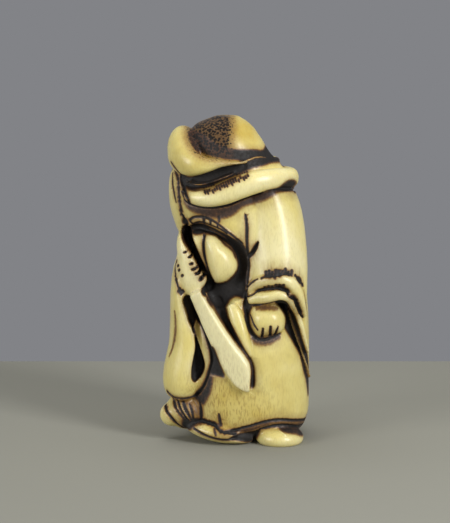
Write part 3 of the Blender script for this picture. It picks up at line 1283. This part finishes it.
class NETSUKE_PG_stage(PropertyGroup):
    """The floor, the lights and the camera"""

    floor: colour_setting("Floor", "Colour of the floor", "#8c8b80")
    wall: colour_setting("Wall", "Colour behind the floor", "#828387")
    key: FloatProperty(
        name="Key light", description="Power of the key light", default=1.08, min=0, unit="POWER"
    )
    fill: FloatProperty(
        name="Fill light", description="Power of the fill light", default=0.68, min=0, unit="POWER"
    )
    top: FloatProperty(
        name="Top light", description="Power of the top light", default=0.5, min=0, unit="POWER"
    )
    elevation: FloatProperty(
        name="Elevation", description="How far the camera looks down",
        default=math.radians(10), subtype="ANGLE",
    )
    distance: FloatProperty(
        name="Distance", description="From the camera to the middle of the figure",
        default=0.548, min=0.2, unit="LENGTH",
    )
    lens: FloatProperty(
        name="Lens", description="Focal length in millimetres",
        default=180, min=20, subtype="DISTANCE_CAMERA",
    )


# ---- operators ---------------------------------------------------------------------


# Where stain gathers or is worn off: the depth in mm at which it starts, the depth at which it is full,
# and how much of it there is then.
FINE_STAIN = (0.03, 0.16, 0.8)
BROAD_STAIN = (0.3, 1.0, 0.75)
EDGE_WEAR = (0.03, 0.12, 0.45)
FINE_ROUNDS, BROAD_ROUNDS = 8, 90  # rounds of relaxing that take fine and broad hollows out
GLOW_ROUNDS = 40  # rounds of relaxing that spread the stain to its glow
HALF_WORN = 0.42  # how worn the ivory is on a flat place, 0 to 1


def ramped(values, low, high, full):
    """0 below low, full above high, and evenly between."""
    return ((values - low) / (high - low)).clip(0, 1) * full


class NETSUKE_OT_carving(Operator):
    """Carve the figure, wear it smooth and stain its recesses"""

    bl_idname = "netsuke.carving"
    bl_label = "Carving"

    def execute(self, context):
        sizes = context.scene.netsuke_carving
        rough = roughed_out(sizes.voxel / MM)
        points, triangles = surface_of(rough)
        edges = read(rough.edges, "vertices", 2, np.int32)
        points = relaxed(points, edges, sizes.wear)
        rough.vertices.foreach_set("co", points.ravel())
        rough.update()
        piece = place("rough", rough)
        context.view_layer.update()
        normals = normals_of(points, triangles)
        cut, stain, rubbed = cut_in(points, normals, piece, all_lines())
        inner = np.zeros(len(points))
        for area in dark_grounds():
            share = area_share(points, normals, area.outline, area.soft)
            stain = np.maximum(stain, area.ink * share)
            inner = np.maximum(inner, area.depth * share)
        cut[:, 1] += inner
        cut = relaxed(cut, edges, 1, 0.4)

        # Hollows: how far a surface rubbed down over about 0.6 mm and over about 2 mm lies above this one.
        normals = normals_of(cut, triangles)
        fine = ((relaxed(cut, edges, FINE_ROUNDS) - cut) * normals).sum(1)
        broad = ((relaxed(cut, edges, BROAD_ROUNDS) - cut) * normals).sum(1)
        stain = np.maximum(stain * (1 - rubbed), ramped(fine, *FINE_STAIN))
        stain = np.maximum(stain, ramped(broad, *BROAD_STAIN))
        stain -= ramped(-fine, *EDGE_WEAR)
        stain = relaxed(stain.clip(0, 1)[:, None], edges, 1, 0.3)[:, 0]
        stipple = area_share(points, normals, STIPPLED, 1.4)
        glow = relaxed(np.maximum(stain, stipple)[:, None], edges, GLOW_ROUNDS)[:, 0] * 1.25
        worn = HALF_WORN - broad * 0.5
        for tone in tones():
            worn += tone.ink * area_share(points, normals, tone.outline, tone.soft)
        grain = area_share(points, normals, GRAINED, 5)
        marks = dict(stain=stain, glow=glow, worn=worn, stipple=stipple, grain=grain)
        plain = (relaxed(np.maximum(stain, stipple)[:, None], edges, 6)[:, 0] < 0.05) & (np.abs(fine) < 0.01)
        for name, values in marks.items():
            give(rough, name, values.clip(0, 1))
        cut[:, 2] = np.maximum(cut[:, 2], 0)
        cut[:, :2] += CENTRING
        rough.vertices.foreach_set("co", cut.ravel())
        rough.update()
        bpy.data.objects.remove(piece)
        mesh = thinned(rough, plain.astype(float), sizes.triangles)
        mesh.vertices.foreach_set("co", (read(mesh.vertices, "co", 3) * MM).ravel())
        mesh.update()
        mesh.name = "netsuke_carving"
        mesh.shade_smooth()
        mesh.materials.clear()
        mesh.materials.append(ivory(context.scene.netsuke_ivory))
        carving = place("netsuke_carving", mesh)
        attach(carving, "root")
        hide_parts("netsuke")
        return {"FINISHED"}


LOOKED_AT = (-1.99, -12, 39.9)  # mm, the place in the middle of the view, before CENTRING
LIT = Vector((0, 0, 0.035))  # metres, the place that every light is aimed at
FLOOR_REACH = 2  # metres from the figure to the floor's front and sides
FLOOR_BACK = 0.075  # metres from the figure to the floor's far edge


class NETSUKE_OT_stage(Operator):
    """Set the floor, the lights and the camera"""

    bl_idname = "netsuke.stage"
    bl_label = "Stage"

    def execute(self, context):
        scene, setup = context.scene, context.scene.netsuke_stage
        scene.view_settings.view_transform = "Standard"
        mesh = bpy.data.meshes.new("floor")
        near, far = -FLOOR_REACH, FLOOR_BACK
        corners = [(near, near, 0), (-near, near, 0), (-near, far, 0), (near, far, 0)]
        mesh.from_pydata(corners, [], [(0, 1, 2, 3)])
        cloth, add = bare_material("pale grey cloth")
        matt = add("ShaderNodeBsdfPrincipled", ("Base Color", (*setup.floor, 1)), ("Roughness", 0.9))
        add("ShaderNodeOutputMaterial", ("Surface", matt), out=None)
        mesh.materials.append(cloth)
        place("floor", mesh)

        target = (Vector(LOOKED_AT) + Vector((*CENTRING, 0))) * MM
        back = Vector((0, -math.cos(setup.elevation), math.sin(setup.elevation)))
        camera = bpy.data.objects.new("camera", bpy.data.cameras.new("camera"))
        camera.data.lens = setup.lens
        camera.data.clip_start, camera.data.clip_end = 0.01, 10
        camera.location = target + back * setup.distance
        camera.rotation_euler = (-back).to_track_quat("-Z", "Y").to_euler()
        scene.collection.objects.link(camera)
        scene.camera = camera

        # Soft boxes: each one's place, its width and height, all in millimetres, and its power.
        for name, spot, size, watts in (
            ("key", (230, -230, 190), (90, 220), setup.key),
            ("fill", (-300, -220, 120), (160, 160), setup.fill),
            ("top", (-20, 40, 330), (220, 220), setup.top),
        ):
            light = bpy.data.lights.new(name, "AREA")
            light.shape = "RECTANGLE"
            light.size, light.size_y, light.energy = size[0] * MM, size[1] * MM, watts
            lamp = bpy.data.objects.new(name, light)
            lamp.location = Vector(spot) * MM
            lamp.visible_glossy = name != "top"  # its reflection would hide the dark crown
            lamp.rotation_euler = (LIT - lamp.location).to_track_quat("-Z", "Y").to_euler()
            scene.collection.objects.link(lamp)
        world = bpy.data.worlds.new("studio")
        world.use_nodes = True
        world.node_tree.nodes["Background"].inputs["Color"].default_value = (*setup.wall, 1)
        scene.world = world
        return {"FINISHED"}


class NETSUKE_PT_panel(Panel):
    """The netsuke's operators, each with its settings"""

    bl_idname = "NETSUKE_PT_panel"
    bl_label = "Netsuke"
    bl_space_type = "VIEW_3D"
    bl_region_type = "UI"
    bl_category = "Netsuke"

    def draw(self, context):
        scene = context.scene
        for operator, groups in (
            ("netsuke.carving", (scene.netsuke_carving, scene.netsuke_ivory)),
            ("netsuke.stage", (scene.netsuke_stage,)),
        ):
            box = self.layout.box()
            box.operator(operator)
            for group in groups:
                for name in group.__annotations__:
                    box.prop(group, name)


GROUPS = {
    "netsuke_carving": NETSUKE_PG_carving,
    "netsuke_ivory": NETSUKE_PG_ivory,
    "netsuke_stage": NETSUKE_PG_stage,
}
CLASSES = (*GROUPS.values(), NETSUKE_OT_carving, NETSUKE_OT_stage, NETSUKE_PT_panel)


def register():
    """Makes the classes and their settings known to Blender."""
    for cls in CLASSES:
        bpy.utils.register_class(cls)
    for name, group in GROUPS.items():
        setattr(bpy.types.Scene, name, PointerProperty(type=group))


def unregister():
    """Takes the settings and the classes away again."""
    for name in GROUPS:
        delattr(bpy.types.Scene, name)
    for cls in reversed(CLASSES):
        bpy.utils.unregister_class(cls)


def main():
    """Registers everything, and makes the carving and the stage."""
    register()
    bpy.ops.netsuke.carving()
    bpy.ops.netsuke.stage()


if __name__ == "__main__":
    main()
